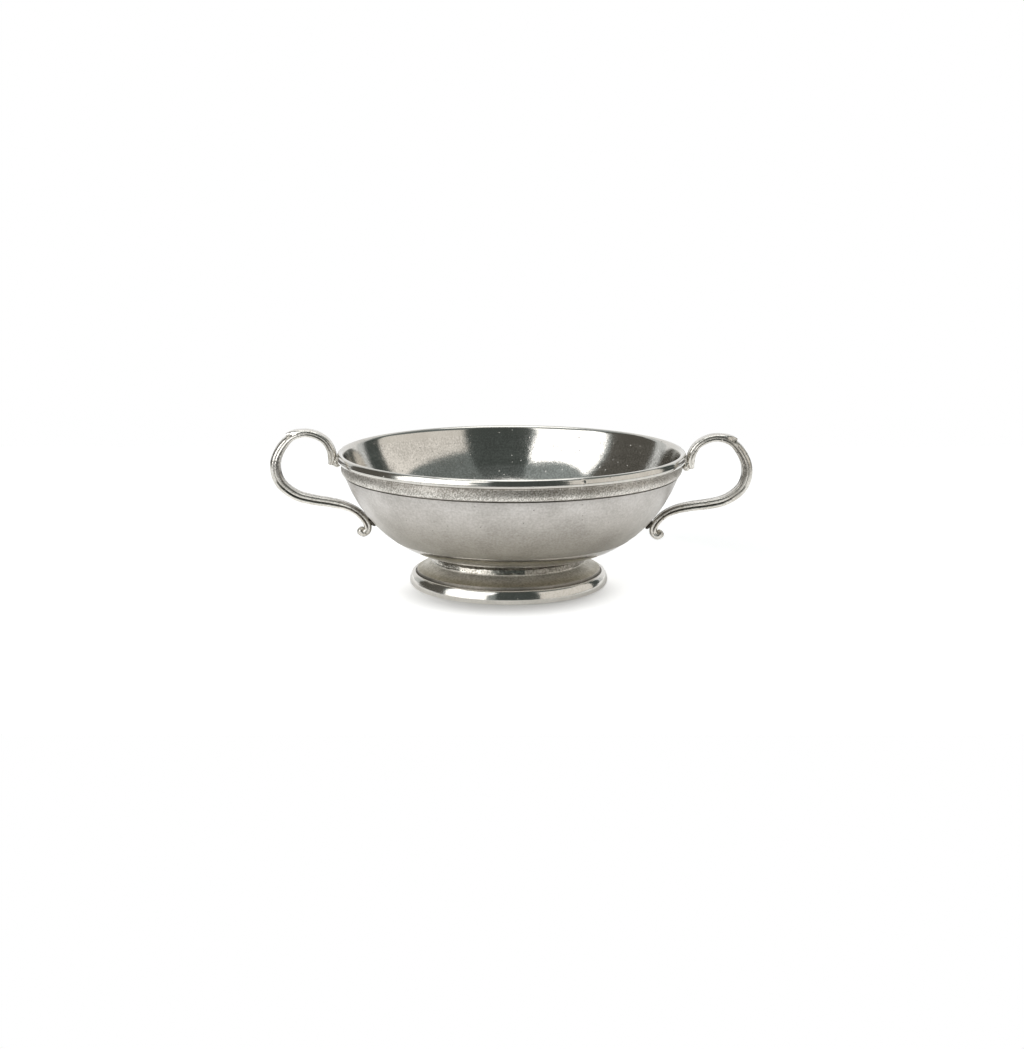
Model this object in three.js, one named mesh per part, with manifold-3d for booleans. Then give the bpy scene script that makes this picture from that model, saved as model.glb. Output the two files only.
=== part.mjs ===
// Footed two-handled bowl in cast and turned pewter.
// Millimetres, +Z up. The origin is on the bowl's axis at the surface it stands on,
// and the handles lie along X. Four castings are joined by five solder deposits.
import * as THREE from "three";
import { mergeVertices } from "three/addons/utils/BufferGeometryUtils.js";
import Module from "manifold-3d";

// Bowl
const lipRadius = 70;
const lipTop = 54.5;
const lipInnerRadius = 67.2;
const lipUnderside = 50.9;
const bandRadius = 67.9;
const bandFoot = 46.1;
const grooveHeight = 45.6;
const grooveRadius = 66.5;
const wallTopRadius = 67;
const wallTop = 45;
const wallThickness = 2.1;
const seatRadius = 31;
const seatInnerRadius = 26;
const seatHeight = 13;
const undersideDip = 1.3;
const floorRadius = 16;

// Foot
const solderThickness = 0.6;
const neckRadius = 30.2;
const neckBoreRadius = 27.6;
const neckBoreFoot = 9;
const shoulderTop = 8.7;
const footGrooveRadius = 37.5;
const footGrooveHeight = 5.6;
const footRadius = 40.1;
const footFlatOuterRadius = 38.2;
const footFlatInnerRadius = 34.9;
const footOffset = -1.2;

// Handles
const handleGap = 0.3;
const rightHandleDrop = 1.8;
const rightHandleInset = 0.3;
const rightHandleTurn = THREE.MathUtils.degToRad(1.4);
const handleRings = 60;
const plateThickness = 1.3;
const tongueRise = 0.5;
const tongueStart = 0.045;
const tonguePointStart = 0.235;
const tongueEnd = 0.297;

// Solder at each handle, in the handle's own frame: x and z, radii and lean
const rimSolderMiddle = [70.2, 50];
const rimSolderRadii = [1.9, 2.8, 1.5];
const rimLean = 0;
const wallSolderMiddle = [56.3, 24.9];
const wallSolderRadii = [1.2, 2.9, 3.4];
const wallLean = THREE.MathUtils.degToRad(43);

// Facets round each turned piece
const bowlFacets = 60;
const footFacets = 52;

const satinPewter = { color: 0xb3aea2, roughness: 0.38, metalness: 1 };
const polishedPewter = { color: 0xb9b6ae, roughness: 0.2, metalness: 1 };
const castPewter = { color: 0xa9a49b, roughness: 0.3, metalness: 1 };
const solder = { color: 0x8d8a84, roughness: 0.5, metalness: 1 };

const wasm = await Module();
wasm.setup();

// Geometry to and from a solid, for the cuts where one piece is fitted to another
function solidFrom(geometry) {
  const bare = geometry.clone();
  bare.deleteAttribute("normal");
  bare.deleteAttribute("uv");
  const merged = mergeVertices(bare, 1e-4);
  return new wasm.Manifold(
    new wasm.Mesh({
      numProp: 3,
      vertProperties: new Float32Array(merged.attributes.position.array),
      triVerts: new Uint32Array(merged.index.array),
    }),
  );
}

function geometryFrom(solid) {
  const mesh = solid.getMesh();
  const geometry = new THREE.BufferGeometry();
  geometry.setAttribute("position", new THREE.BufferAttribute(mesh.vertProperties, 3));
  geometry.setIndex(new THREE.BufferAttribute(mesh.triVerts, 1));
  geometry.computeVertexNormals();
  return geometry;
}

function pieceFrom(name, geometry, finish) {
  const mesh = new THREE.Mesh(geometry, new THREE.MeshStandardMaterial(finish));
  mesh.name = name;
  return mesh;
}

// A turned piece: the outline is (radius, height), revolved about Z
function turned(outline, facets) {
  return new THREE.LatheGeometry(outline, facets).rotateX(Math.PI / 2);
}

const at = (radius, height) => new THREE.Vector2(radius, height);

// An outline pushed outwards along its own normals, for a clearance or a wall's far side
function offsetOutline(points, distance) {
  return points.map((point, i) => {
    const before = points[Math.max(i - 1, 0)];
    const after = points[Math.min(i + 1, points.length - 1)];
    const along = after.clone().sub(before).normalize();
    return at(point.x + along.y * distance, point.y - along.x * distance);
  });
}

// Bowl: flat seat below, a full curve up to the groove, then the matt band and the lip
const wallCurve = new THREE.CubicBezierCurve(
  at(seatRadius, seatHeight),
  at(37.5, 13.5),
  at(58.2, 20),
  at(wallTopRadius, wallTop),
);
const wallOutline = wallCurve.getPoints(13);
const bandOutline = [
  at(grooveRadius, grooveHeight),
  at(bandRadius - 0.1, bandFoot),
  at(bandRadius + 0.25, bandFoot + 0.9),
  at(bandRadius, bandFoot + 1.9),
  at(bandRadius + 0.1, bandFoot + 3.1),
  at(bandRadius + 0.7, lipUnderside - 0.4),
];
const lipCurve = new THREE.SplineCurve([
  at(lipRadius - 0.8, lipUnderside),
  at(lipRadius - 0.1, lipTop - 2.4),
  at(lipRadius, lipTop - 1.4),
  at(lipRadius - 0.6, lipTop - 0.4),
  at(lipRadius - 1.6, lipTop),
  at(lipInnerRadius + 0.3, lipTop - 0.4),
  at(lipInnerRadius, lipTop - 1.3),
]);
const outsideOutline = [...wallOutline, ...bandOutline, ...lipCurve.getPoints(10)];

const underside = new THREE.QuadraticBezierCurve(
  at(0, seatHeight - undersideDip),
  at(floorRadius, seatHeight - undersideDip),
  at(seatInnerRadius, seatHeight),
);
const insideWall = offsetOutline(wallOutline, -wallThickness).reverse();
const insideFloor = new THREE.QuadraticBezierCurve(
  insideWall[insideWall.length - 1],
  at(floorRadius, seatHeight + wallThickness - undersideDip),
  at(0, seatHeight + wallThickness - undersideDip),
);
const bowlOutline = [
  ...underside.getPoints(4),
  ...outsideOutline,
  ...insideWall,
  ...insideFloor.getPoints(4).slice(1),
];
const bowl = pieceFrom("bowl", turned(bowlOutline, bowlFacets), satinPewter);

// Foot: short neck, sloping shoulder, turned groove and a half-round base bead, hollow below
const neckTop = seatHeight - solderThickness;
const shoulderCurve = new THREE.QuadraticBezierCurve(
  at(neckRadius + 0.8, shoulderTop),
  at(34.2, 7.9),
  at(footGrooveRadius - 0.7, 6.5),
);
const baseBead = new THREE.SplineCurve([
  at(footGrooveRadius + 0.35, footGrooveHeight - 0.2),
  at(footRadius - 1.3, 5.2),
  at(footRadius - 0.3, 4.2),
  at(footRadius, 2.9),
  at(footRadius - 0.3, 1.3),
  at(footFlatOuterRadius, 0),
]);
const footOutside = [
  at(neckRadius + 0.1, neckTop),
  at(neckRadius - 0.2, 10.8),
  at(neckRadius, 9.6),
  ...shoulderCurve.getPoints(4),
  at(footGrooveRadius - 0.3, 6.3),
  at(footGrooveRadius, footGrooveHeight),
  ...baseBead.getPoints(8),
].reverse();
const footInside = new THREE.CubicBezierCurve(
  at(neckBoreRadius, neckBoreFoot),
  at(neckBoreRadius + 0.6, neckBoreFoot - 2.4),
  at(footFlatInnerRadius - 0.7, 5),
  at(footFlatInnerRadius - 0.4, 2.4),
);
const footOutline = [
  at(footFlatInnerRadius, 0),
  ...footOutside,
  at(neckBoreRadius, neckTop),
  ...footInside.getPoints(5),
  at(footFlatInnerRadius, 0),
];
const foot = pieceFrom("foot", turned(footOutline, footFacets), polishedPewter);

// Solder between the neck's flat top and the bowl's flat seat
const seamOutline = [
  at(neckBoreRadius + 0.3, neckTop),
  at(neckRadius - 0.1, neckTop),
  at(neckRadius + 0.4, seatHeight - solderThickness / 2),
  at(neckRadius + 0.5, seatHeight),
  at(neckBoreRadius + 0.3, seatHeight),
  at(neckBoreRadius + 0.3, neckTop),
];
const footSolderRing = pieceFrom("foot_solder_ring", turned(seamOutline, footFacets), solder);

// Handle: an S-scroll strap swept along one route, from its tip beside the lip, over the loop,
// in along the lower arm and down the wall to the curled end. Each stop on the route gives
// x, z, the strap's width across (Y) and its thickness.
const handleStops = [
  [72.3, 48.7, 3.4, 1.6],
  [71.9, 51.2, 5, 2.5],
  [72.4, 54.6, 6, 2.8],
  [74.6, 58.2, 6.4, 2.8],
  [78.5, 60.6, 6.4, 2.8],
  [83, 61.4, 6.4, 2.9],
  [88, 59.9, 6.4, 3.2],
  [92.2, 56, 6.2, 3.6],
  [94.9, 50.8, 6.2, 3.8],
  [95.2, 46, 6.2, 3.9],
  [93.6, 41.3, 6, 3.8],
  [90.2, 37.8, 5.9, 3.8],
  [85.6, 35.4, 5.8, 3.8],
  [79.4, 33.9, 5.6, 3.7],
  [73, 32.9, 5.4, 3.5],
  [67.4, 31.6, 5.2, 3.3],
  [63.2, 29.7, 5, 3],
  [60.2, 27.1, 4.8, 2.9],
  [58.4, 24.2, 4.6, 2.8],
  [58.3, 21.8, 4.4, 2.7],
  [59.9, 20.3, 4.2, 2.6],
  [61.3, 21.2, 3.8, 2.6],
];
const handleRoute = new THREE.CatmullRomCurve3(
  handleStops.map(([x, z]) => new THREE.Vector3(x, 0, z)),
);
const handleGauge = new THREE.CatmullRomCurve3(
  handleStops.map(([, , width, thickness]) => new THREE.Vector3(width, thickness, 0)),
);

// One side of the strap's section, as [across, outward] from the flat inner face to the crown:
// a flank, a fine groove, then either the rounded crown or the flat tongue of the upper arm
function halfSection(width, thickness, tongue, point) {
  const half = width / 2;
  const deep = thickness / 2;
  const ledge = plateThickness - deep;
  const flat = tongue ? deep + tongueRise * point : deep;
  const topHalf = half * (tongue ? 0.95 - 0.6 * point : 0.5);
  return [
    [half * 0.86, -deep],
    [half, -deep + 0.35],
    [half, ledge - 0.2],
    [half * 0.88, ledge],
    [half * 0.95, ledge + 0.25],
    [tongue ? topHalf : half * 0.82, tongue ? deep - 0.3 : deep * 0.6],
    [tongue ? topHalf * 0.9 : half * 0.45, tongue ? flat : deep * 0.93],
  ];
}

function handleRing(t, swell) {
  const centre = handleRoute.getPoint(t);
  const along = handleRoute.getTangent(t);
  const gauge = handleGauge.getPoint(t);
  const outward = new THREE.Vector3(-along.z, 0, along.x);
  const tongue = t > tongueStart && t < tongueEnd;
  const point = THREE.MathUtils.smoothstep(t, tonguePointStart, tongueEnd);
  const width = gauge.x + 2 * swell;
  const thickness = gauge.y + 2 * swell;
  const side = halfSection(width, thickness, tongue, point);
  const top = [0, tongue ? thickness / 2 + tongueRise * point : thickness / 2];
  const mirrored = side.map(([across, out]) => [-across, out]).reverse();
  return [...side, top, ...mirrored].map(([across, out]) =>
    centre.clone().addScaledVector(outward, out).add(new THREE.Vector3(0, across, 0)),
  );
}

// Rings of equal count joined by quads and closed at both ends by a fan about the middle
function loft(rings) {
  const count = rings[0].length;
  const points = rings.flat();
  const faces = [];
  for (let ring = 0; ring < rings.length - 1; ring++) {
    for (let i = 0; i < count; i++) {
      const here = ring * count + i;
      const next = ring * count + ((i + 1) % count);
      faces.push(here, next, here + count);
      faces.push(next, next + count, here + count);
    }
  }
  const ends = [0, rings.length - 1];
  for (const end of ends) {
    const middle = new THREE.Vector3();
    rings[end].forEach((point) => middle.addScaledVector(point, 1 / count));
    const hub = points.push(middle) - 1;
    for (let i = 0; i < count; i++) {
      const here = end * count + i;
      const next = end * count + ((i + 1) % count);
      faces.push(...(end === 0 ? [hub, next, here] : [hub, here, next]));
    }
  }
  const geometry = new THREE.BufferGeometry().setFromPoints(points);
  geometry.setIndex(faces);
  return geometry;
}

// The curled end finishes in a bead, made by drawing the last rings in round its middle
function strap(swell) {
  const stations = [];
  for (let i = 0; i <= handleRings; i++) stations.push(i / handleRings);
  stations.push(tongueStart + 0.002, tongueEnd - 0.001, tongueEnd + 0.001);
  stations.sort((a, b) => a - b);
  const rings = stations.map((t) => handleRing(t, swell));
  const last = rings[rings.length - 1];
  const centre = handleRoute.getPoint(1);
  const along = handleRoute.getTangent(1);
  const beadReach = handleStops[handleStops.length - 1][3] / 2 + swell;
  for (const angle of [30, 60, 80]) {
    const turn = THREE.MathUtils.degToRad(angle);
    const middle = centre.clone().addScaledVector(along, beadReach * Math.sin(turn));
    rings.push(
      last.map((point) =>
        middle.clone().add(point.clone().sub(centre).multiplyScalar(Math.cos(turn))),
      ),
    );
  }
  return loft(rings);
}

// The handles and their solder are fitted to the bowl's outside with a fine gap
const clearance = offsetOutline(outsideOutline, handleGap);
const bowlClearance = turned(
  [at(0, seatHeight - 1), at(seatRadius, seatHeight - 1), ...clearance, at(0, lipTop)],
  bowlFacets,
);

// Where each handle stands: the right one is the mould's own position, lowered and leant out
// a little as it was soldered; the left one is turned half round
const leftPlace = new THREE.Matrix4().makeRotationZ(Math.PI);
const loopMiddle = new THREE.Vector3(82, 0, 45);
const rightPlace = new THREE.Matrix4()
  .makeTranslation(loopMiddle.x - rightHandleInset, 0, loopMiddle.z - rightHandleDrop)
  .multiply(new THREE.Matrix4().makeRotationY(rightHandleTurn))
  .multiply(new THREE.Matrix4().makeTranslation(-loopMiddle.x, 0, -loopMiddle.z));

const bowlSolid = solidFrom(bowlClearance);
const strapSolid = (swell, place) => solidFrom(strap(swell).applyMatrix4(place));

function handle(name, place) {
  const fitted = strapSolid(0, place).subtract(bowlSolid);
  return pieceFrom(name, geometryFrom(fitted), castPewter);
}

// A solder deposit: a flattened bead in the handle's own frame, fitted to bowl and handle
function deposit(name, place, middle, radii, lean) {
  const bead = new THREE.SphereGeometry(1, 12, 8);
  bead.scale(...radii).rotateY(lean).translate(middle[0], 0, middle[1]).applyMatrix4(place);
  const fitted = solidFrom(bead).subtract(bowlSolid).subtract(strapSolid(handleGap, place));
  const bodies = fitted.decompose().sort((a, b) => b.volume() - a.volume());
  return pieceFrom(name, geometryFrom(bodies[0]), solder);
}

const assembly = new THREE.Group();
assembly.add(bowl);

// The foot was soldered on by eye, a little off the bowl's axis
const footGroup = new THREE.Group();
footGroup.position.x = footOffset;
footGroup.add(foot, footSolderRing);
assembly.add(footGroup);

const sides = [
  ["left", leftPlace],
  ["right", rightPlace],
];
for (const [side, place] of sides) {
  assembly.add(handle(`handle_${side}`, place));
  assembly.add(deposit(`${side}_rim_solder`, place, rimSolderMiddle, rimSolderRadii, rimLean));
  assembly.add(deposit(`${side}_wall_solder`, place, wallSolderMiddle, wallSolderRadii, wallLean));
}

export default assembly;
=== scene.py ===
import math

import bpy
from mathutils import Matrix, Vector, noise


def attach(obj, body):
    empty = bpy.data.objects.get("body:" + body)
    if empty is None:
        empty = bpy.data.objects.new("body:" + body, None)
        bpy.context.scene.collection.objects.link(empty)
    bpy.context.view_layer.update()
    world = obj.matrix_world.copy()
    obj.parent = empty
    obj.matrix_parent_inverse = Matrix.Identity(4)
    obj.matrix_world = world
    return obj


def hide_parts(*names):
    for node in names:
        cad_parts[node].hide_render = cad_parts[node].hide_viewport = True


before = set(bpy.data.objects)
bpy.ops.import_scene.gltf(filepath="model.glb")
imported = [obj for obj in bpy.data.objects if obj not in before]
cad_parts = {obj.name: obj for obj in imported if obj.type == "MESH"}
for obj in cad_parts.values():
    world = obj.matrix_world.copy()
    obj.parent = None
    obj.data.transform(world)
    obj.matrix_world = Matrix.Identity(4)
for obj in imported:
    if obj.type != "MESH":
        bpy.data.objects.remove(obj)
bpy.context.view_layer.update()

# Camera
# Where the photograph was taken from: 0.73 m in front of the bowl's axis, 12 cm above the rim
# and looking down on it by 11 degrees.
camera_distance, camera_height, camera_pitch = 0.734321, 0.171983, 0.199
bpy.ops.object.camera_add(
    location=(0, -camera_distance, camera_height),
    rotation=(math.pi / 2 - camera_pitch, 0, 0),
)
camera = bpy.context.object
camera.name = "camera"
camera.data.lens = 63.553
camera.data.shift_x = 0.0004
bpy.context.scene.camera = camera

# Bowl
# Cast in tin-rich pewter, then turned on a lathe inside and out: a satin wall, a matt band left
# by the mould above one turned groove, and a lip and inside burnished with a steel.
mm = 0.001
bowl_turns = 288
# Radius and height in millimetres, from the seat out to the lip and down inside. A free point
# also gives the two handles of its curve.
bowl_outline = [
    ("corner", 0, 11.7),
    ("smooth", 14, 11.9),
    ("corner", 26, 13),
    ("free", 31, 13, (30, 13), (38.8, 13.35)),
    ("free", 67.1, 45.35, (57.8, 20.5), (67.12, 45.4)),
    ("corner", 66.65, 45.5),
    ("corner", 66.65, 45.72),
    ("corner", 67.7, 46.05),
    ("smooth", 68.0, 46.5),
    ("smooth", 68.3, 47.3),
    ("smooth", 68.32, 48.4),
    ("smooth", 68.15, 49.6),
    ("smooth", 68.15, 50.4),
    ("smooth", 68.85, 50.8),
    ("smooth", 69.7, 51.2),
    ("smooth", 70, 51.9),
    ("smooth", 69.86, 52.8),
    ("smooth", 69.7, 53.5),
    ("smooth", 69.33, 54.08),
    ("smooth", 68.7, 54.34),
    ("smooth", 68.0, 54.14),
    ("smooth", 67.46, 53.58),
    ("free", 67.1, 52.75, (67.21, 53.1), (64.84, 44.17)),
    ("free", 54.48, 28.0, (61.95, 35.96), (49.69, 22.91)),
    ("free", 37.71, 16.78, (43.87, 18.97), (30.02, 14.05)),
    ("free", 0, 13.8, (11.63, 13.8), (-1, 13.8)),
]


def draw_outline(outline):
    """Draws a turned piece's outline, in millimetres, as a bezier curve, and makes it a mesh."""
    bpy.ops.object.select_all(action="DESELECT")
    bpy.ops.curve.primitive_bezier_curve_add()
    drawn = bpy.context.object
    drawn.data.resolution_u = 12
    points = drawn.data.splines[0].bezier_points
    points.add(len(outline) - len(points))
    kinds = {"corner": "VECTOR", "smooth": "AUTO", "free": "FREE"}
    for point, (kind, radius, height, *handles) in zip(points, outline):
        point.handle_left_type = point.handle_right_type = kinds[kind]
        point.co = (radius * mm, 0, height * mm)
        if handles:
            before, after = handles
            point.handle_left = (before[0] * mm, 0, before[1] * mm)
            point.handle_right = (after[0] * mm, 0, after[1] * mm)
    bpy.ops.object.convert(target="MESH")
    return bpy.context.object


def turn_on_lathe(name, outline, steps, axis_x=0.0):
    """Spins an outline once round the upright axis at x = axis_x, and closes the surface."""
    piece = draw_outline(outline)
    piece.name = name
    bpy.ops.object.mode_set(mode="EDIT")
    bpy.ops.mesh.select_all(action="SELECT")
    bpy.ops.transform.translate(value=(axis_x, 0, 0))
    bpy.ops.mesh.spin(
        steps=steps, angle=2 * math.pi, center=(axis_x, 0, 0), axis=(0, 0, 1)
    )
    bpy.ops.mesh.select_all(action="SELECT")
    bpy.ops.mesh.remove_doubles(threshold=0.002 * mm)
    bpy.ops.mesh.normals_make_consistent(inside=False)
    bpy.ops.object.mode_set(mode="OBJECT")
    bpy.ops.object.shade_smooth_by_angle(angle=math.radians(40))
    return piece


bowl = turn_on_lathe("bowl_turned", bowl_outline, bowl_turns)


def linear(hex_colour):
    """An sRGB hex colour as the linear colour that nodes take."""
    parts = [int(hex_colour[i : i + 2], 16) / 255 for i in (1, 3, 5)]
    return (*((c / 12.92 if c <= 0.04045 else ((c + 0.055) / 1.055) ** 2.4) for c in parts), 1)


def add_node(tree, kind, settings=None, links=None):
    """Adds a node, sets its properties and inputs, and links sockets to its inputs."""
    made = tree.nodes.new(kind)
    for name, value in (settings or {}).items():
        if isinstance(name, int):
            made.inputs[name].default_value = value
        elif name in made.inputs:
            made.inputs[name].default_value = value
        else:
            setattr(made, name, value)
    for name, source in (links or {}).items():
        tree.links.new(source, made.inputs[name])
    return made


def pewter(
    name, light, dark, roughness, swing, pits, waves, ripples, rings, grain,
    pit_gap=2.4, pit_share=0.16, ring_gap=0.5, ripple_gap=3, mottle_gap=0.8,
    speckle=0.45, streaks=0.0, below=None, recesses=None,
):
    """Tin-rich pewter: a warm grey metal. The light and dark colours are its clean and its
    tarnished tone. Pits, waves, ripples, rings and grain are depths in millimetres of the
    blowholes left by casting, the unevenness of handwork, large and small, the lathe's rings and
    the skin's own grain, and each gap is the distance in millimetres from one to the next.
    Speckle and streaks are how much the mottle and the rings tint it. Below gives two heights,
    a colour and a roughness, which set in from the second height to the first; on the satin wall
    and the matt band that colour is painted shade. Recesses names the attribute that says where
    old tarnish has stayed."""
    cloud_gap, patch_gap, wave_gap, skin_gap = 12.5, 6.25, 18.18, 0.3846
    old_tarnish, pit_dirt = "#57524a", "#4a4742"
    made = bpy.data.materials.new(name)
    made.use_nodes = True
    tree = made.node_tree
    shader = tree.nodes["Principled BSDF"]
    shader.inputs["Metallic"].default_value = 1
    place = add_node(tree, "ShaderNodeTexCoord").outputs["Object"]

    # Rings: the tool's marks run round the axis, so the bearing counts for next to nothing. Real
    # ones are 0.1 to 0.2 mm apart, and these are drawn as coarse as they need to show
    split = add_node(tree, "ShaderNodeSeparateXYZ", None, {0: place})
    flat = add_node(
        tree, "ShaderNodeCombineXYZ", None, {0: split.outputs["X"], 1: split.outputs["Y"]}
    )
    reach = add_node(tree, "ShaderNodeVectorMath", {"operation": "LENGTH"}, {0: flat.outputs[0]})
    bearing = add_node(
        tree, "ShaderNodeMath", {"operation": "ARCTAN2"},
        {0: split.outputs["Y"], 1: split.outputs["X"]},
    )
    slow = add_node(
        tree, "ShaderNodeMath", {"operation": "MULTIPLY", 1: 0.0022}, {0: bearing.outputs[0]}
    )
    round_place = add_node(
        tree, "ShaderNodeCombineXYZ", None,
        {0: reach.outputs["Value"], 1: slow.outputs[0], 2: split.outputs["Z"]},
    )
    ring = add_node(
        tree, "ShaderNodeTexNoise", {"Scale": 950 / ring_gap, "Detail": 3, "Roughness": 0.6},
        {"Vector": round_place.outputs[0]},
    )

    # Tone: soft clouds of tarnish, a mottle and the rings' staining
    cloud = add_node(
        tree, "ShaderNodeTexNoise",
        {"Scale": 1000 / cloud_gap, "Detail": 4, "Roughness": 0.55}, {"Vector": place},
    )
    mottle = add_node(
        tree, "ShaderNodeTexNoise", {"Scale": 1000 / mottle_gap, "Detail": 2}, {"Vector": place}
    )
    stained = cloud
    for source, share in ((mottle, speckle), (ring, streaks)):
        stained = add_node(
            tree, "ShaderNodeMath", {"operation": "MULTIPLY_ADD", 1: share},
            {0: source.outputs["Fac"], 2: stained.outputs[0]},
        )
    middle, spread = 0.5 * (1 + speckle + streaks), 0.3
    tone = add_node(
        tree, "ShaderNodeMapRange", {"From Min": middle - spread, "From Max": middle + spread},
        {"Value": stained.outputs[0]},
    )

    # Pits: small blowholes in patches, in only some of the pattern's cells and up to a sixth as
    # wide as their cell
    cells = add_node(
        tree, "ShaderNodeTexVoronoi", {"Scale": 1000 / pit_gap, "Randomness": 1}, {"Vector": place}
    )
    pit = add_node(
        tree, "ShaderNodeMapRange", {"From Min": 0.02, "From Max": 0.17, "To Min": 1, "To Max": 0},
        {"Value": cells.outputs["Distance"]},
    )
    which = add_node(tree, "ShaderNodeSeparateColor", None, {0: cells.outputs["Color"]})
    chosen = add_node(
        tree, "ShaderNodeMath", {"operation": "LESS_THAN", 1: pit_share}, {0: which.outputs["Red"]}
    )
    patches = add_node(
        tree, "ShaderNodeTexNoise", {"Scale": 1000 / patch_gap, "Detail": 2}, {"Vector": place}
    )
    patch = add_node(
        tree, "ShaderNodeMapRange", {"From Min": 0.42, "From Max": 0.56},
        {"Value": patches.outputs["Fac"]},
    )
    holes = pit
    for source in (chosen, patch):
        holes = add_node(
            tree, "ShaderNodeMath", {"operation": "MULTIPLY"},
            {0: holes.outputs[0], 1: source.outputs[0]},
        )

    # Handwork: long waves and short ripples, and the skin's grain
    wave = add_node(
        tree, "ShaderNodeTexNoise", {"Scale": 1000 / wave_gap, "Detail": 1}, {"Vector": place}
    )
    ripple = add_node(
        tree, "ShaderNodeTexNoise", {"Scale": 1000 / ripple_gap, "Detail": 2}, {"Vector": place}
    )
    skin = add_node(
        tree, "ShaderNodeTexNoise", {"Scale": 1000 / skin_gap, "Detail": 3}, {"Vector": place}
    )

    # Colour and roughness: dark clouds are rougher, and the pits hold dirt
    colour = add_node(
        tree, "ShaderNodeMix", {"data_type": "RGBA", 6: linear(dark), 7: linear(light)},
        {0: tone.outputs[0]},
    )
    rough = add_node(
        tree, "ShaderNodeMapRange",
        {
            "From Min": 0.35, "From Max": 0.7,
            "To Min": roughness + swing, "To Max": roughness - swing,
        },
        {"Value": cloud.outputs["Fac"]},
    )
    rough = add_node(
        tree, "ShaderNodeMath", {"operation": "MULTIPLY_ADD", 1: swing},
        {0: ring.outputs["Fac"], 2: rough.outputs[0]},
    )
    # Below: a colour and a roughness set in towards one height. On the satin wall and the matt
    # band the colour is painted shade
    if below:
        lower, upper, stain_and_shade, low_roughness = below
        near = add_node(
            tree, "ShaderNodeMapRange",
            {
                "interpolation_type": "SMOOTHSTEP", "From Min": lower * mm, "From Max": upper * mm,
                "To Min": 1, "To Max": 0,
            },
            {"Value": split.outputs["Z"]},
        )
        colour = add_node(
            tree, "ShaderNodeMix",
            {"data_type": "RGBA", "blend_type": "MULTIPLY", 7: linear(stain_and_shade)},
            {0: near.outputs[0], 6: colour.outputs[2]},
        )
        rough = add_node(
            tree, "ShaderNodeMath", {"operation": "MULTIPLY_ADD", 1: low_roughness - roughness},
            {0: near.outputs[0], 2: rough.outputs[0]},
        )
    if recesses:
        kept = add_node(tree, "ShaderNodeAttribute", {"attribute_name": recesses})
        uneven = add_node(
            tree, "ShaderNodeMath", {"operation": "MULTIPLY_ADD", 1: 1.4, 2: -0.7},
            {0: mottle.outputs["Fac"]},
        )
        uneven = add_node(
            tree, "ShaderNodeMath", {"operation": "ADD"},
            {0: uneven.outputs[0], 1: kept.outputs["Fac"]},
        )
        stay = add_node(
            tree, "ShaderNodeMapRange", {"From Min": 0.25, "From Max": 1},
            {"Value": uneven.outputs[0]},
        )
        colour = add_node(
            tree, "ShaderNodeMix", {"data_type": "RGBA", 7: linear(old_tarnish)},
            {0: stay.outputs[0], 6: colour.outputs[2]},
        )
    dirty = add_node(
        tree, "ShaderNodeMath", {"operation": "MULTIPLY", 1: 0.75}, {0: holes.outputs[0]}
    )
    colour = add_node(
        tree, "ShaderNodeMix", {"data_type": "RGBA", 7: linear(pit_dirt)},
        {0: dirty.outputs[0], 6: colour.outputs[2]},
    )
    tree.links.new(colour.outputs[2], shader.inputs["Base Color"])
    tree.links.new(rough.outputs[0], shader.inputs["Roughness"])

    # Relief, each layer with its own depth
    relief = None
    for height, depth, inverted in (
        (wave, waves, False), (ripple, ripples, False), (ring, rings, False),
        (skin, grain, False), (holes, pits, True),
    ):
        if depth == 0:
            continue
        links = {"Height": height.outputs[0]}
        if relief:
            links["Normal"] = relief.outputs[0]
        relief = add_node(
            tree, "ShaderNodeBump", {"Distance": depth * mm, "invert": inverted}, links
        )
    tree.links.new(relief.outputs[0], shader.inputs["Normal"])
    return made


# A knock on the lip's front left a small dent, for which the faces round it are divided
knock = Vector((26.5, -64.8, 52.9)) * mm
knock_radius, knock_depth, knock_way = 1.25 * mm, 0.18 * mm, Vector((-0.33, 0.9, -0.1))
bpy.ops.object.mode_set(mode="EDIT")
bpy.ops.mesh.select_mode(type="FACE")
bpy.ops.mesh.select_all(action="DESELECT")
bpy.ops.object.mode_set(mode="OBJECT")
for face in bowl.data.polygons:
    face.select = (face.center - knock).length < 2.2 * mm
bpy.ops.object.mode_set(mode="EDIT")
bpy.ops.mesh.subdivide(number_cuts=5)
bpy.ops.object.mode_set(mode="OBJECT")
for vertex in bowl.data.vertices:
    away = (vertex.co - knock).length / knock_radius
    if away < 1:
        vertex.co += knock_way * (knock_depth * (1 - away**2) ** 2)

# Turned, then rubbed round with fine abrasive: soft broad reflections, and rings that hardly show
# Its lower part is darkened with painted shade: a painted reflection of the shadowed table under
# the bowl
satin_wall = pewter(
    "pewter_turned_satin", "#c6c2be", "#aca8a3", 0.34, 0.03,
    pits=0.15, waves=0.05, ripples=0.006, rings=0.006, grain=0.018,
    pit_gap=2, pit_share=0.3, speckle=1.2, streaks=0.35, below=(19, 44, "#ccc9be", 0.36),
)
# Left as the mould made it: matt, with a fine mottle like sand
# Its top, under the lip, is darkened with painted shade
matt_band = pewter(
    "pewter_cast_matt", "#e9e6e0", "#a39f97", 0.5, 0.05,
    pits=0.1, waves=0.05, ripples=0.0, rings=0.0, grain=0.02,
    pit_gap=1, pit_share=0.6, mottle_gap=0.5, speckle=2.6, below=(49.8, 46.6, "#d9d7d5", 0.48),
)
# Burnished with a steel: nearly a mirror, a little uneven from the hand
burnished = pewter(
    "pewter_burnished", "#d6d3cd", "#bfbcb5", 0.1, 0.03,
    pits=0.08, waves=0.12, ripples=0.014, rings=0.003, grain=0.006,
    pit_gap=2, pit_share=0.25, speckle=0.7,
)
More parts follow.
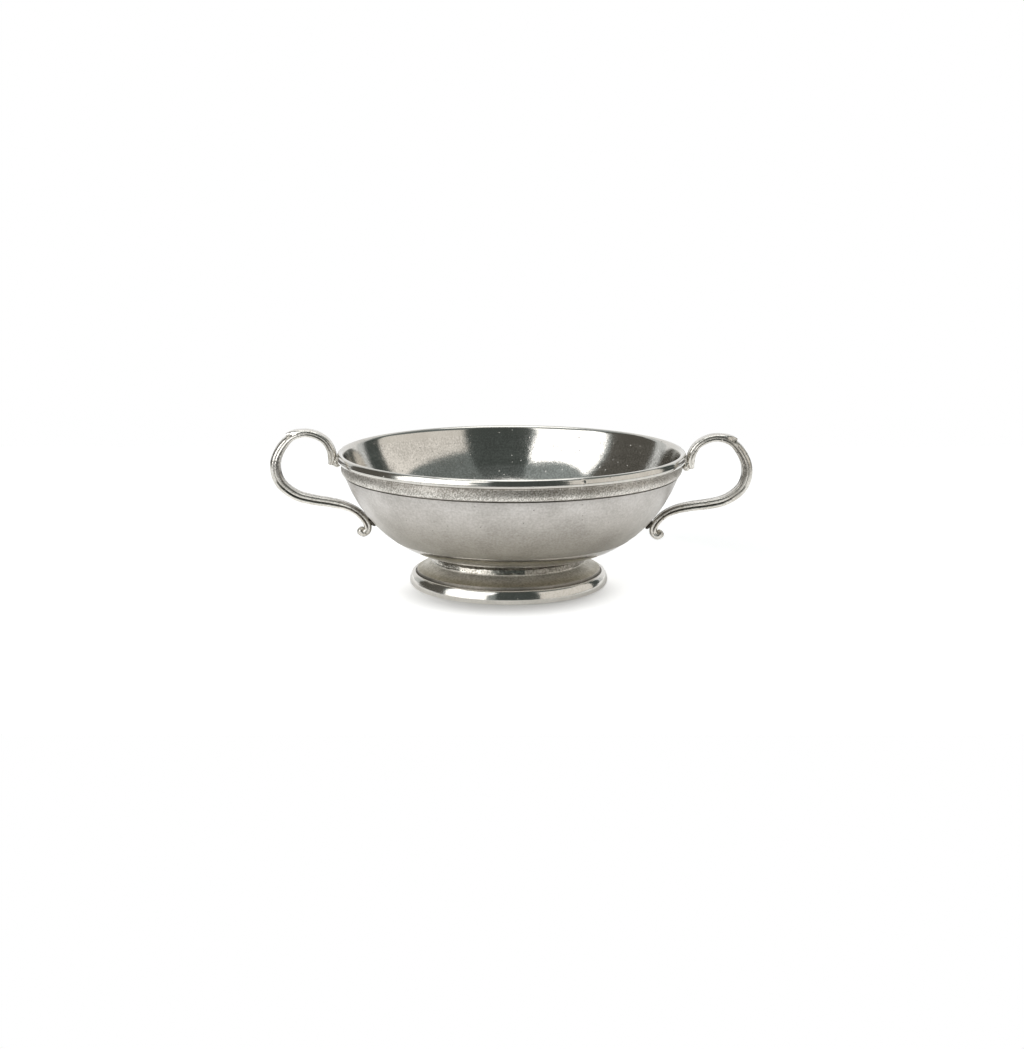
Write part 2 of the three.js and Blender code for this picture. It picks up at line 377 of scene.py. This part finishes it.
# Burnished on the lathe, which left brush-like rings, and duller at the bottom
burnished_inside = pewter(
    "pewter_burnished_inside", "#e1ded8", "#bdbab4", 0.09, 0.03,
    pits=0.1, waves=0.12, ripples=0.018, rings=0.004, grain=0.012,
    pit_gap=1.8, pit_share=0.35, ring_gap=1.2, speckle=1.6, streaks=0.45,
    below=(17, 27, "#e4e9e9", 0.18),
)
# Out of the cloth's reach: old tarnish, dark and dull
tarnished_groove = pewter(
    "pewter_tarnished_groove", "#a29d94", "#6a665f", 0.45, 0.05,
    pits=0.05, waves=0.0, ripples=0.0, rings=0.0, grain=0.02,
)
bowl_finishes = [satin_wall, matt_band, burnished, burnished_inside, tarnished_groove]
for finish in bowl_finishes:
    bowl.data.materials.append(finish)
# Heights in millimetres at which the finishes change
wall_foot, wall_top, groove_top, band_top, inside_top = 20.7, 45.36, 46.1, 50.5, 50
for face in bowl.data.polygons:
    outward = face.normal.x * face.center.x + face.normal.y * face.center.y > 0
    height = face.center.z / mm
    reach = math.hypot(face.center.x, face.center.y) / mm
    if wall_top < height < groove_top and 66 < reach < 67.5:
        finish = tarnished_groove
    elif outward and wall_foot < height < wall_top:
        finish = satin_wall
    elif outward and wall_top <= height < band_top:
        finish = matt_band
    elif face.normal.z > 0 and height < inside_top:
        finish = burnished_inside
    else:
        finish = burnished
    face.material_index = bowl_finishes.index(finish)
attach(bowl, "root")
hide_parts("bowl")

# Foot
# A hollow casting turned outside: a short neck, a sloping shoulder, one groove and a half-round
# bead at the base. It was soldered on by eye, a little left of the bowl's axis.
foot_axis = -1.2 * mm
foot_turns = 240
foot_outline = [
    ("corner", 27.6, 12.4),
    ("corner", 30.5, 12.4),
    ("smooth", 30.75, 11.2),
    ("smooth", 31.0, 10.1),
    ("smooth", 31.3, 9.6),
    ("smooth", 31.9, 9.2),
    ("smooth", 34.2, 8.0),
    ("smooth", 36.7, 6.6),
    ("corner", 37.02, 6.42),
    ("corner", 37.1, 6.12),
    ("corner", 37.2, 5.2),
    ("corner", 37.45, 5.2),
    ("smooth", 37.75, 5.5),
    ("smooth", 38.25, 5.62),
    ("smooth", 38.8, 5.42),
    ("smooth", 39.18, 5.0),
    ("smooth", 39.55, 4.2),
    ("smooth", 39.82, 3.3),
    ("smooth", 40.02, 2.4),
    ("smooth", 40.08, 1.8),
    ("smooth", 39.95, 1.1),
    ("smooth", 39.5, 0.4),
    ("corner", 38.6, 0),
    ("corner", 34.9, 0),
    ("corner", 34.5, 2.4),
    ("smooth", 33.5, 4.3),
    ("smooth", 30.4, 6.5),
    ("smooth", 28.2, 8.1),
    ("smooth", 27.6, 9.3),
    ("corner", 27.6, 12.4),
]
foot = turn_on_lathe("foot_turned", foot_outline, foot_turns, foot_axis)
# The neck was scraped by hand after soldering, so it is uneven by a tenth of a millimetre or so
for vertex in foot.data.vertices:
    out = Vector((vertex.co.x - foot_axis, vertex.co.y, 0))
    if vertex.co.z > 9 * mm and out.length > 29 * mm:
        uneven = noise.noise(vertex.co * 220) + 0.5 * noise.noise(vertex.co * 700)
        vertex.co += out.normalized() * (0.14 * mm * uneven)

# Rubbed with fine abrasive: pale and soft, darker down towards the groove
satin_shoulder = pewter(
    "pewter_shoulder_satin", "#f1eee7", "#c4c0b6", 0.5, 0.05,
    pits=0.15, waves=0.1, ripples=0.02, rings=0.004, grain=0.02,
    pit_gap=1.6, pit_share=0.3, speckle=1.4, below=(6.8, 8.8, "#ccc8bd", 0.42),
)
# Scraped bright, with small facets and some pits, so what it mirrors is broken up
scraped_neck = pewter(
    "pewter_neck_scraped", "#ccc8bf", "#837f76", 0.17, 0.06,
    pits=0.25, waves=0.15, ripples=0.06, rings=0.004, grain=0.03,
    pit_gap=1.5, pit_share=0.45, ripple_gap=1.5, speckle=1.6,
)
# Where solder ran on the neck and was left: grey, dull and pitted
smeared = pewter(
    "pewter_smeared_with_solder", "#b3aea4", "#68635b", 0.42, 0.08,
    pits=0.3, waves=0.15, ripples=0.1, rings=0.0, grain=0.05,
    pit_gap=1.5, pit_share=0.6, ripple_gap=1.5, speckle=1.8,
)
foot_finishes = [burnished, satin_shoulder, tarnished_groove, scraped_neck, smeared]
for finish in foot_finishes:
    foot.data.materials.append(finish)
# Heights in millimetres at which the finishes change. The rubbed shoulder ends a little unevenly
foot_groove_low, foot_groove_top, shoulder_low, shoulder_top = 5.15, 6.4, 6.45, 10
for face in foot.data.polygons:
    height = face.center.z / mm
    reach = math.hypot(face.center.x - foot_axis, face.center.y) / mm
    rubbed_to = shoulder_top + 0.35 * noise.noise(face.center * 300)
    finish = burnished
    if face.normal.z > 0 and shoulder_low < height < rubbed_to:
        finish = satin_shoulder
    elif foot_groove_low < height < foot_groove_top and 37 < reach < 37.6:
        finish = tarnished_groove
    elif height >= rubbed_to:
        # Most of the smear is on the neck's right-hand side
        smear = noise.noise(face.center * 90) + 0.4 * noise.noise(face.center * 450)
        right = face.center.x / mm - 9 + 9 * smear
        finish = smeared if right > 0 or smear > 0.45 else scraped_neck
    face.material_index = foot_finishes.index(finish)
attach(foot, "root")
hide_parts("foot")

# Foot's solder seam
# Soft solder that filled the corner between the bowl's seat and the foot's neck, and was left as
# it ran: dull grey, uneven and full of pinholes, so it shows as a dark broken line.
soldered = pewter(
    "solder_soft_dull", "#827d74", "#3c3934", 0.45, 0.06,
    pits=0.2, waves=0.1, ripples=0.06, rings=0.0, grain=0.05,
    pit_gap=1.3, pit_share=0.45, ripple_gap=1.5, speckle=1.6,
)
seam_outline = [
    ("corner", 27.9, 12.4),
    ("corner", 30.3, 11.8),
    ("smooth", 30.8, 11.75),
    ("smooth", 31.0, 12.05),
    ("smooth", 31.2, 12.4),
    ("smooth", 31.5, 12.75),
    ("corner", 32.2, 13.15),
    ("corner", 31.8, 13.2),
    ("corner", 27.9, 13.05),
    ("corner", 27.9, 12.4),
]
seam = turn_on_lathe("foot_solder_seam", seam_outline, foot_turns, foot_axis)
seam_uneven = 0.35 * mm
for vertex in seam.data.vertices:
    out = Vector((vertex.co.x - foot_axis, vertex.co.y, 0))
    if out.length > 29 * mm:
        uneven = noise.noise(vertex.co * 260) + 0.7 * noise.noise(vertex.co * 800)
        vertex.co += out.normalized() * (seam_uneven * uneven)
        vertex.co.z += seam_uneven * noise.noise(vertex.co * 500)
seam.data.materials.append(soldered)
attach(seam, "root")
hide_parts("foot_solder_ring")

# Handles
# Two castings from one mould: an S-scroll strap that is flat inside, with a reed along its back
# and a fine groove at each side. A raised tongue covers the reed on the upper arm and ends in a
# small point. Each stop on the route gives x, z, the strap's width and its thickness.
handle_stops = [
    (72.5, 48.8, 3.6, 2.2),
    (71.95, 51.2, 5, 3.3),
    (72.45, 54.6, 6, 3.1),
    (74.6, 58.2, 6.4, 2.8),
    (78.5, 60.6, 6.4, 2.8),
    (83, 61.36, 6.4, 2.9),
    (88, 59.9, 6.4, 3.2),
    (91.85, 56.05, 6.2, 3.9),
    (94.42, 51.15, 6.2, 4.2),
    (94.93, 46.2, 6.2, 4.3),
    (93.5, 41.6, 6, 4.25),
    (90.15, 38, 5.9, 4.2),
    (85.6, 35.4, 5.8, 4.1),
    (79.4, 33.9, 5.6, 4),
    (73, 32.9, 5.4, 3.8),
    (67.4, 31.6, 5.2, 3.5),
    (63.2, 29.7, 5, 3.1),
    (60.2, 27.1, 4.8, 3.1),
    (58.35, 24.2, 4.6, 3.2),
    (58.3, 21.9, 4.4, 3.3),
    (59.8, 20.6, 4.4, 3.4),
    (61.1, 21.5, 4.3, 3.7),
]
# The flat plate's share of the thickness, then where along the route, from 0 to 1, the tongue
# starts, narrows to its point and ends, the bend ends, and the curl starts
plate_share = 0.48
tongue_from, point_from, tongue_to = 0.045, 0.235, 0.297
bend_to, curl_from = 0.45, 0.86
stations = 150


def along_stops(t):
    """Where the strap is at t, 0 to 1: x, z, width and thickness, and the direction it runs in,
    on a smooth curve through the stops."""
    spans = len(handle_stops) - 1
    span = min(int(t * spans), spans - 1)
    u = t * spans - span
    a, b, c, d = (
        Vector(handle_stops[min(max(span + k, 0), spans)]) for k in (-1, 0, 1, 2)
    )
    if span == 0:
        a = 2 * b - c
    if span == spans - 1:
        d = 2 * c - b
    square, cube = 2 * a - 5 * b + 4 * c - d, 3 * b - a - 3 * c + d
    here = 0.5 * (2 * b + (c - a) * u + square * u**2 + cube * u**3)
    run = 0.5 * ((c - a) + 2 * square * u + 3 * cube * u**2)
    return here, Vector((run[0], run[1])).normalized()


def strap_section(t):
    """The strap's outline at t as (across, outwards) in millimetres, from the flat inner face's
    middle round one flank to the crown and back down the other."""
    (_, _, width, thickness), _ = along_stops(t)
    half, deep = width / 2, thickness / 2
    ledge = thickness * plate_share - deep
    point = min(max((t - point_from) / (tongue_to - point_from), 0), 1)
    point = point * point * (3 - 2 * point)
    # The groove's share of half the width, which grows past the bend
    cut = 0.06 + 0.1 * min(max((t - bend_to) / 0.08, 0), 1)
    side = [
        (half * 0.45, -deep),
        (half * 0.72, -deep + 0.02),
        (half * 0.9, -deep + 0.16),
        (half * 0.98, -deep + 0.4),
        (half, -deep + 0.7),
        (half, ledge - 0.45),
        (half * 0.98, ledge - 0.22),
        (half * (1 - cut), ledge),
        (half * (1.01 - cut), ledge + 0.14),
    ]
    if tongue_from < t < tongue_to:
        flat = deep + 0.7 * point
        rise = flat - ledge
        taper = 1 - 0.6 * point**4
        side += [
            (half * 0.95, ledge + 0.3),
            (half * 0.96 * taper, ledge + 0.4 * rise),
            (half * 0.9 * taper, ledge + 0.7 * rise),
            (half * 0.79 * taper, ledge + 0.9 * rise),
            (half * 0.62 * taper, ledge + 0.99 * rise),
            (half * 0.35 * taper, flat + 0.01),
        ]
        crown = flat + 0.02
    else:
        low = ledge + 0.3
        for angle in (12, 28, 44, 58, 70, 80):
            turn = math.radians(angle)
            side.append((half * 0.98 * math.cos(turn), low + (deep - low) * math.sin(turn)))
        crown = deep
    if t > curl_from:
        # The curl is round
        rounded = min((t - curl_from) / 0.1, 1)
        for index, (across, out) in enumerate(side):
            turn = math.atan2(out / deep, across / half)
            side[index] = (
                across + (half * math.cos(turn) - across) * rounded,
                out + (deep * math.sin(turn) - out) * rounded,
            )
    mirrored = [(-across, out) for across, out in reversed(side)]
    return [(0, -deep), *side, (0, crown), *mirrored]


def strap_ring(t, shrink=1.0, reach=0.0):
    """The section at t as points in the handle's own frame, in metres, shrunk and moved along
    the route by reach millimetres where an end is rounded off."""
    (x, z, _, _), run = along_stops(t)
    out_x, out_z = -run.y, run.x
    return [
        Vector(
            (
                x + run.x * reach + out_x * out * shrink,
                across * shrink,
                z + run.y * reach + out_z * out * shrink,
            )
        )
        * mm
        for across, out in strap_section(t)
    ]


def cast_handle(name, place):
    """Draws the strap's section at its tip and extrudes it from station to station. Three rings
    round off the tip and five make the curl's end a ball, and the tongue's ends get a station
    close to each."""
    times = [i / stations for i in range(stations + 1)]
    times += [tongue_from + 0.0005, tongue_to - 0.0005, tongue_to + 0.0008]
    tip = ((0.35, -0.42), (0.75, -0.32), (0.93, -0.16))
    ball_radius = 1.3
    ball = [(math.cos(a), ball_radius * math.sin(a)) for a in (0.35, 0.7, 1.0, 1.25, 1.42)]
    rings = [strap_ring(0, shrink, reach) for shrink, reach in tip]
    rings += [strap_ring(t) for t in sorted(times)]
    rings += [strap_ring(1, shrink, reach) for shrink, reach in ball]
    count = len(rings[0])
    bpy.ops.object.select_all(action="DESELECT")
    bpy.ops.mesh.primitive_circle_add(vertices=count, radius=mm, fill_type="NGON")
    handle = bpy.context.object
    handle.name = name
    for vertex, spot in zip(handle.data.vertices, rings[0]):
        vertex.co = spot
    bpy.ops.object.mode_set(mode="EDIT")
    bpy.ops.mesh.select_all(action="SELECT")
    for _ in rings[1:]:
        bpy.ops.mesh.extrude_region_move()
    bpy.ops.object.mode_set(mode="OBJECT")
    for index, ring in enumerate(rings):
        for step, spot in enumerate(ring):
            handle.data.vertices[index * count + step].co = spot
    bpy.ops.object.mode_set(mode="EDIT")
    bpy.ops.mesh.select_all(action="SELECT")
    bpy.ops.mesh.normals_make_consistent(inside=False)
    bpy.ops.object.mode_set(mode="OBJECT")
    handle.data.transform(place)
    bpy.ops.object.shade_smooth_by_angle(angle=math.radians(38))

    # Tarnish stays on the flanks in the bend, by the wall and in the curl, in the groove under the
    # tongue's edge and, past the bend, beside the reed, and a little on the reed itself
    tarnish = handle.data.attributes.new("tarnish", "FLOAT", "POINT")
    for index in range(len(rings)):
        t = index / (len(rings) - 1)
        bend = max(0, 1 - abs(t - 0.43) / 0.16)
        arm = min(max((t - 0.46) / 0.08, 0), 1) * min(max((0.9 - t) / 0.06, 0), 1)
        wall = max(0, 1 - abs(t - 0.76) / 0.08, (t - 0.93) / 0.07)
        flank = 0.1 + 0.55 * bend + 0.6 * wall
        groove = 0.2 + 0.7 * arm + (0.3 if t < 0.3 else 0)
        reed = 0.25 * bend + 0.15 * arm
        for step in range(count):
            side = min(step, count - step)
            stays = 0 if side == 0 else flank if side <= 6 else groove if side <= 9 else reed
            tarnish.data[index * count + step].value = stays
    return handle


# The right handle was soldered 1.8 mm lower, 0.3 mm closer and leaning out by 1.4 degrees
right_place = (
    Matrix.Translation(Vector((81.7, 0, 43.2)) * mm)
    @ Matrix.Rotation(math.radians(1.4), 4, "Y")
    @ Matrix.Translation(Vector((-82, 0, -45)) * mm)
)
left_place = Matrix.Rotation(math.pi, 4, "Z")
# As cast and then wiped: satin crowns, pits, and tarnish wherever the cloth doesn't reach
cast_skin = pewter(
    "pewter_as_cast", "#efece6", "#aca79d", 0.21, 0.06,
    pits=0.5, waves=0.3, ripples=0.06, rings=0.0, grain=0.03,
    pit_gap=1.9, pit_share=0.8, ripple_gap=1.4, speckle=1.1, recesses="tarnish",
)
for side, place in (("left", left_place), ("right", right_place)):
    handle = cast_handle(f"handle_{side}_cast", place)
    handle.data.materials.append(cast_skin)
    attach(handle, "root")
    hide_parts(f"handle_{side}")

# Handles' solder
# A small lump of solder under the lip, wiped smooth while it was hot, and another, left as it ran,
# where the lower arm lies on the wall.
# Each lump's middle as x and z and its radii in millimetres, and its lean
lumps = {
    "rim": ((70.3, 49.6), (1.8, 3, 2.2), 0),
    "wall": ((56.5, 24.9), (0.85, 2.1, 2.1), math.radians(43)),
}
# Wiped while hot: smooth and nearly as bright as the pewter
wiped_solder = pewter(
    "solder_wiped_smooth", "#e0ddd6", "#b5b1a8", 0.22, 0.05,
    pits=0.12, waves=0.1, ripples=0.04, rings=0.0, grain=0.03,
    pit_gap=1.3, pit_share=0.3, speckle=0.9,
)
for side, place in (("left", left_place), ("right", right_place)):
    for spot, (middle, radii, lean) in lumps.items():
        bpy.ops.object.select_all(action="DESELECT")
        bpy.ops.mesh.primitive_ico_sphere_add(subdivisions=5, radius=1)
        lump = bpy.context.object
        lump.name = f"{side}_{spot}_solder_lump"
        lump.data.transform(
            place
            @ Matrix.Translation(Vector((middle[0], 0, middle[1])) * mm)
            @ Matrix.Rotation(lean, 4, "Y")
            @ Matrix.Diagonal((*(radius * mm for radius in radii), 1))
        )
        for vertex in lump.data.vertices:
            uneven = noise.noise(vertex.co * 700) + 0.5 * noise.noise(vertex.co * 2000)
            vertex.co += vertex.normal * (0.25 * mm * uneven)
        bpy.ops.object.shade_smooth()
        lump.data.materials.append(wiped_solder if spot == "rim" else soldered)
        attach(lump, "root")
        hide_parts(f"{side}_{spot}_solder")

# Studio
# White paper on a table in white surroundings, a softbox at the front left, a dimmer panel on the
# right and one overhead. Dark cloths and grey walls stand round them, out of the camera's sight,
# because what polished metal shows is mostly the room it stands in.
bpy.ops.object.select_all(action="DESELECT")
bpy.ops.mesh.primitive_plane_add(size=1)
floor = bpy.context.object
floor.name = "floor"
floor_front, floor_back = -0.2, 0.35
for vertex in floor.data.vertices:
    vertex.co.y = floor_front if vertex.co.y < 0 else floor_back


def emptied_tree(owner):
    """Turns on the nodes of a material or of the world, and clears them."""
    owner.use_nodes = True
    for node in list(owner.node_tree.nodes):
        owner.node_tree.nodes.remove(node)
    return owner.node_tree


paper = bpy.data.materials.new("white_paper")
tree = emptied_tree(paper)
matt = add_node(tree, "ShaderNodeBsdfDiffuse", {"Color": linear("#efefef")})
# The paper is lifted to white all round, to the camera and in the metal, but not under the bowl,
# so that its shadow stays: the camera sees only its core, and the metal all of it. Each step gives
# its ray, its middle, where it starts and ends round that in millimetres, and what it adds
rays = add_node(tree, "ShaderNodeLightPath")
mirrored = add_node(
    tree, "ShaderNodeMath", {"operation": "MAXIMUM"},
    {0: rays.outputs["Is Glossy Ray"], 1: rays.outputs["Is Transmission Ray"]},
)
place = add_node(tree, "ShaderNodeTexCoord").outputs["Object"]
lift = None
for ray, middle, start, end, high in (
    (rays.outputs["Is Camera Ray"], (-2, -14), 24, 50, 0.7),
    (rays.outputs["Is Camera Ray"], (-2, -14), 60, 130, -0.36),
    (mirrored.outputs[0], (6, 10), -12, 88, 0.52),
    (mirrored.outputs[0], (5, 10), 100, 160, -0.18),
):
    away = add_node(
        tree, "ShaderNodeVectorMath",
        {"operation": "DISTANCE", 1: (middle[0] * mm, middle[1] * mm, 0)}, {0: place},
    )
    step = add_node(
        tree, "ShaderNodeMapRange",
        {
            "interpolation_type": "SMOOTHSTEP", "From Min": start * mm, "From Max": end * mm,
            "To Max": high,
        },
        {"Value": away.outputs["Value"]},
    )
    step = add_node(
        tree, "ShaderNodeMath", {"operation": "MULTIPLY"}, {0: step.outputs[0], 1: ray}
    )
    lift = step if lift is None else add_node(
        tree, "ShaderNodeMath", {"operation": "ADD"}, {0: lift.outputs[0], 1: step.outputs[0]}
    )
glow = add_node(tree, "ShaderNodeEmission", None, {"Strength": lift.outputs[0]})
both = add_node(tree, "ShaderNodeAddShader", None, {0: matt.outputs[0], 1: glow.outputs[0]})
add_node(tree, "ShaderNodeOutputMaterial", None, {"Surface": both.outputs[0]})
floor.data.materials.append(paper)


def lit_cloth(name, tint, radiance=1):
    """Cloth that sends out an even light: a softbox's front, or what hangs in the room."""
    cloth = bpy.data.materials.new(name)
    tree = emptied_tree(cloth)
    lit = add_node(tree, "ShaderNodeEmission", {"Color": linear(tint), "Strength": radiance})
    add_node(tree, "ShaderNodeOutputMaterial", None, {"Surface": lit.outputs[0]})
    return cloth


sheet_distance = 1.5


def lit_sheet(name, left, right, bottom, top, radiance, tint="#ffffff", bow=0):
    """A curved sheet of cloth lit from behind. Its sides, bottom and top are in degrees as seen
    from the bowl. Its top edge sags from its ends to its middle, which top gives in the order
    middle, ends. Its right edge stands out furthest three quarters of the way up, and is pulled
    in above and below that by up to bow degrees."""
    bpy.ops.object.select_all(action="DESELECT")
    bpy.ops.mesh.primitive_grid_add(x_subdivisions=32, y_subdivisions=16, size=2)
    sheet = bpy.context.object
    sheet.name = name
    for vertex in sheet.data.vertices:
        across, up = (vertex.co.x + 1) / 2, (vertex.co.y + 1) / 2
        pulled = right - bow * min(6 * (up - 0.76) ** 2, 1)
        azimuth = left + (pulled - left) * across
        lowest, ends = top
        highest = lowest + (ends - lowest) * vertex.co.x**2
        elevation = math.radians(bottom + (highest - bottom) * up)
        azimuth = math.radians(azimuth)
        level = math.cos(elevation)
        vertex.co = sheet_distance * Vector(
            (math.sin(azimuth) * level, -math.cos(azimuth) * level, math.sin(elevation))
        )
    sheet.data.materials.append(lit_cloth(f"{name}_cloth", tint, radiance))
    sheet.visible_camera = False


lit_sheet("softbox_left", -76.5, -16.5, 1, (42, 47), 2.4, bow=9)
lit_sheet("panel_right", 36.5, 112, 1, (33.5, 33.5), 0.95, "#fffbf5")

bpy.ops.object.light_add(type="AREA", location=(0, 0, 1.3))
overhead = bpy.context.object
overhead.name = "softbox_overhead"
overhead.data.shape = "DISK"
overhead_radius, overhead_radiance = 0.58, 1.7
overhead.data.size = 2 * overhead_radius
overhead.data.energy = overhead_radiance * math.pi**2 * overhead_radius**2
overhead.visible_camera = False

# The room's walls and ceiling, a dome 1.7 m from the bowl, open at the back. Each face takes its
# tone from where it stands, in degrees from the front and up, as seen from the bowl
bpy.ops.object.select_all(action="DESELECT")
bpy.ops.mesh.primitive_uv_sphere_add(segments=72, ring_count=36, radius=1.7)
room = bpy.context.object
room.name = "room"
room_tones = {
    "black_cloth": "#525856",
    "brown_cloth": "#63615c",
    "grey_carpet": "#73716e",
    "dark_ceiling": "#616766",
    "grey_ceiling": "#7e8584",
    "pale_ceiling": "#9ba3a3",
    "pale_wall": "#dfe2e3",
}
for name, tint in room_tones.items():
    room.data.materials.append(lit_cloth(name, tint))
tone_names = list(room_tones)
for face in room.data.polygons:
    azimuth = math.degrees(math.atan2(face.center.x, -face.center.y))
    elevation = math.degrees(math.asin(face.center.normalized().z))
    if elevation < 0:
        tone = "grey_carpet"
    elif not -125 < azimuth < 130:
        tone = "pale_wall"
    elif -15 < azimuth < 36:
        tone = "black_cloth" if elevation < 50 else "dark_ceiling"
    elif azimuth < -78 and elevation < 47:
        tone = "brown_cloth"
    elif azimuth <= -15:
        tone = "pale_ceiling"
    elif 110 < azimuth and elevation < 27:
        tone = "black_cloth"
    else:
        tone = "grey_ceiling"
    face.material_index = tone_names.index(tone)
bpy.ops.object.mode_set(mode="EDIT")
bpy.ops.mesh.select_mode(type="FACE")
bpy.ops.mesh.select_all(action="DESELECT")
bpy.ops.object.mode_set(mode="OBJECT")
for face in room.data.polygons:
    behind = abs(math.degrees(math.atan2(face.center.x, -face.center.y))) > 140
    face.select = behind and 0 < face.center.z < 1.2
bpy.ops.object.mode_set(mode="EDIT")
bpy.ops.mesh.delete(type="FACE")
bpy.ops.object.mode_set(mode="OBJECT")
room.visible_camera = False

# White paper far behind, which the camera sees past the floor and the metal through the gap at
# the room's back
world = bpy.data.worlds.new("white_surroundings")
bpy.context.scene.world = world
tree = emptied_tree(world)
white = add_node(tree, "ShaderNodeBackground", {"Color": linear("#ffffff"), "Strength": 1})
add_node(tree, "ShaderNodeOutputWorld", None, {"Surface": white.outputs[0]})
bpy.context.scene.view_settings.view_transform = "Standard"
